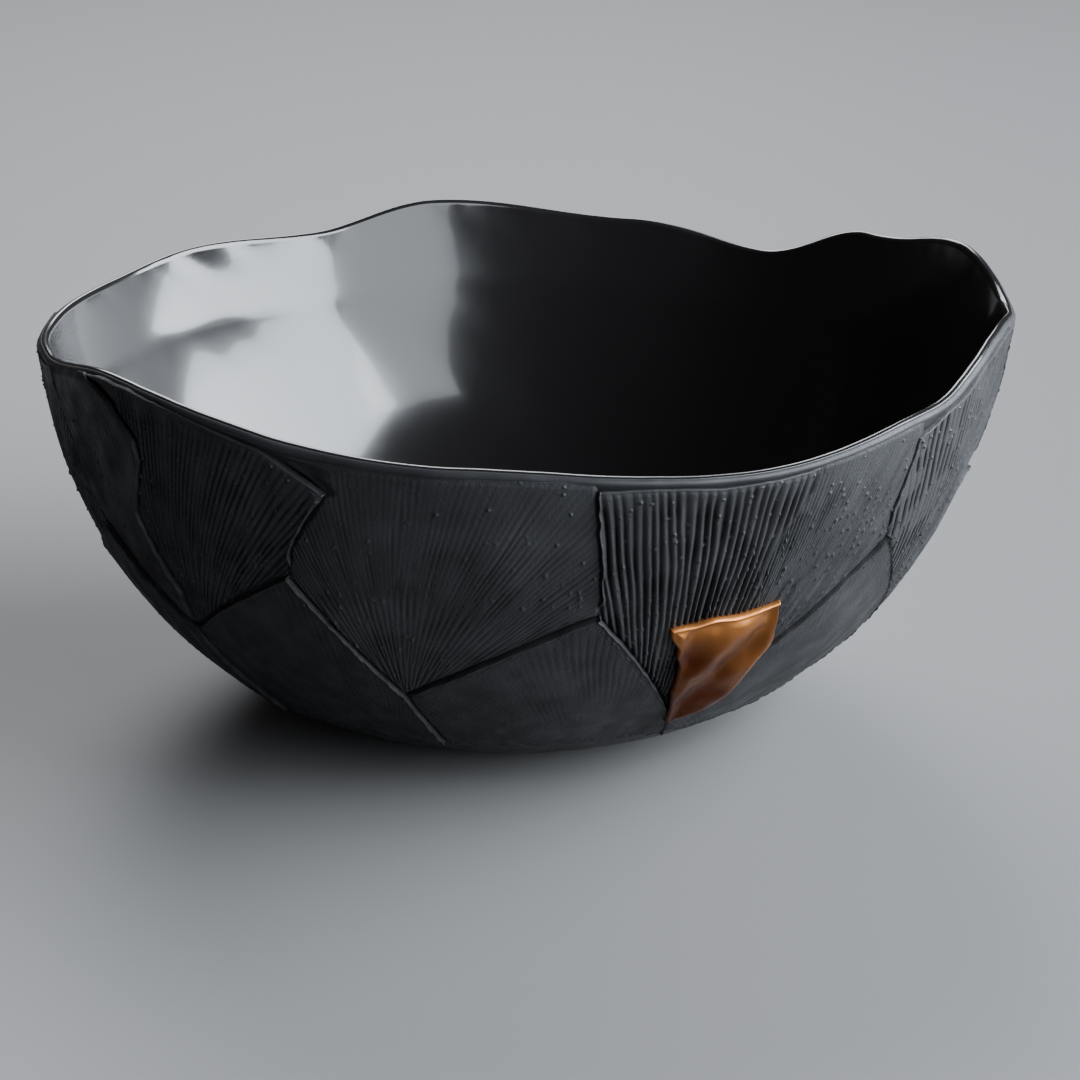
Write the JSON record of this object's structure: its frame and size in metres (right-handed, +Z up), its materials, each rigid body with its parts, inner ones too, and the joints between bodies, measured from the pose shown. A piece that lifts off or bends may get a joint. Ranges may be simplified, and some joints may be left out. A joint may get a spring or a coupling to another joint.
{
  "type": "hand-built serving bowl",
  "caption": "Round black clay bowl with a wavy lip, a glossy glazed inside and an outside of overlapping veined clay petals, one of them gilded.",
  "frame": {"origin": "centre of the flat foot, on the face that the bowl stands on", "axes": "+Z up; the gold petal is at the front right, between -Y and +X"},
  "size_m": [0.1841, 0.1844, 0.0825],
  "materials": {
    "textured_clay": "unglazed black stoneware, matte, with pressed leaf veins",
    "smooth_clay": "unglazed black stoneware, sponged smooth",
    "black_glaze": "glossy black glaze",
    "gold_lustre": "copper-gold lustre, satin, over glaze"
  },
  "bodies": {
    "root": {"bowl_lining": "smooth_clay", "inner_glaze": "black_glaze", "base_slab": "textured_clay", "rim_petal_01": "textured_clay", "rim_petal_02": "textured_clay", "rim_petal_03": "textured_clay", "rim_petal_04": "textured_clay", "rim_petal_05": "textured_clay", "rim_petal_06": "textured_clay", "rim_petal_07": "textured_clay", "rim_petal_08": "textured_clay", "rim_petal_09": "textured_clay", "rim_petal_10": "textured_clay", "rim_petal_11": "textured_clay", "rim_petal_12": "textured_clay", "rim_petal_13": "textured_clay", "rim_petal_14": "textured_clay", "foot_leaf_01": "textured_clay", "foot_leaf_02": "textured_clay", "foot_leaf_03": "textured_clay", "foot_leaf_04": "textured_clay", "foot_leaf_05": "textured_clay", "foot_leaf_06": "textured_clay", "foot_leaf_07": "textured_clay", "foot_leaf_08": "textured_clay", "foot_leaf_09": "textured_clay", "foot_leaf_10": "textured_clay", "gold_petal": "gold_lustre"}
  },
  "joints": []
}
